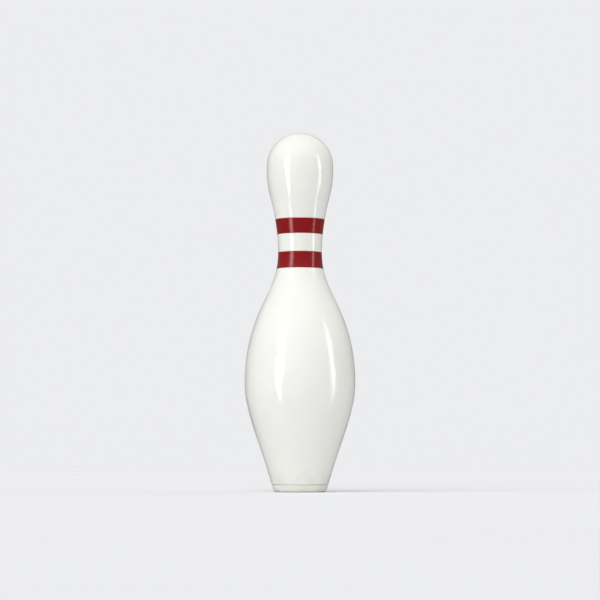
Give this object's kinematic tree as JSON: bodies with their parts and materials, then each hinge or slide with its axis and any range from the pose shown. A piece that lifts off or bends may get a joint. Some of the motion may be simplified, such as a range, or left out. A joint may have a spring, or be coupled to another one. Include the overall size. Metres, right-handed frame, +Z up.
{
  "type": "bowling pin",
  "caption": "Bowling pin with a glued maple core, a moulded plastic coating, a plastic base ring and red bands round the neck; it stands free on its flat foot.",
  "frame": {"origin": "centre of the flat face that the pin stands on", "axes": "+Z up along the pin's axis, from the foot to the crown; +X across the three boards of the core; +Y along the width of the boards"},
  "size_m": [0.117, 0.117, 0.381],
  "materials": {
    "coating": "gloss",
    "band": "gloss",
    "nylon": "satin",
    "maple": "matte"
  },
  "bodies": {
    "root": {"coating": "coating", "base_ring": "nylon", "lower_neck_band": "band", "upper_neck_band": "band", "left_board": "maple", "middle_board": "maple", "right_board": "maple", "left_belly_block": "maple", "right_belly_block": "maple", "front_belly_block": "maple", "back_belly_block": "maple"}
  },
  "joints": []
}
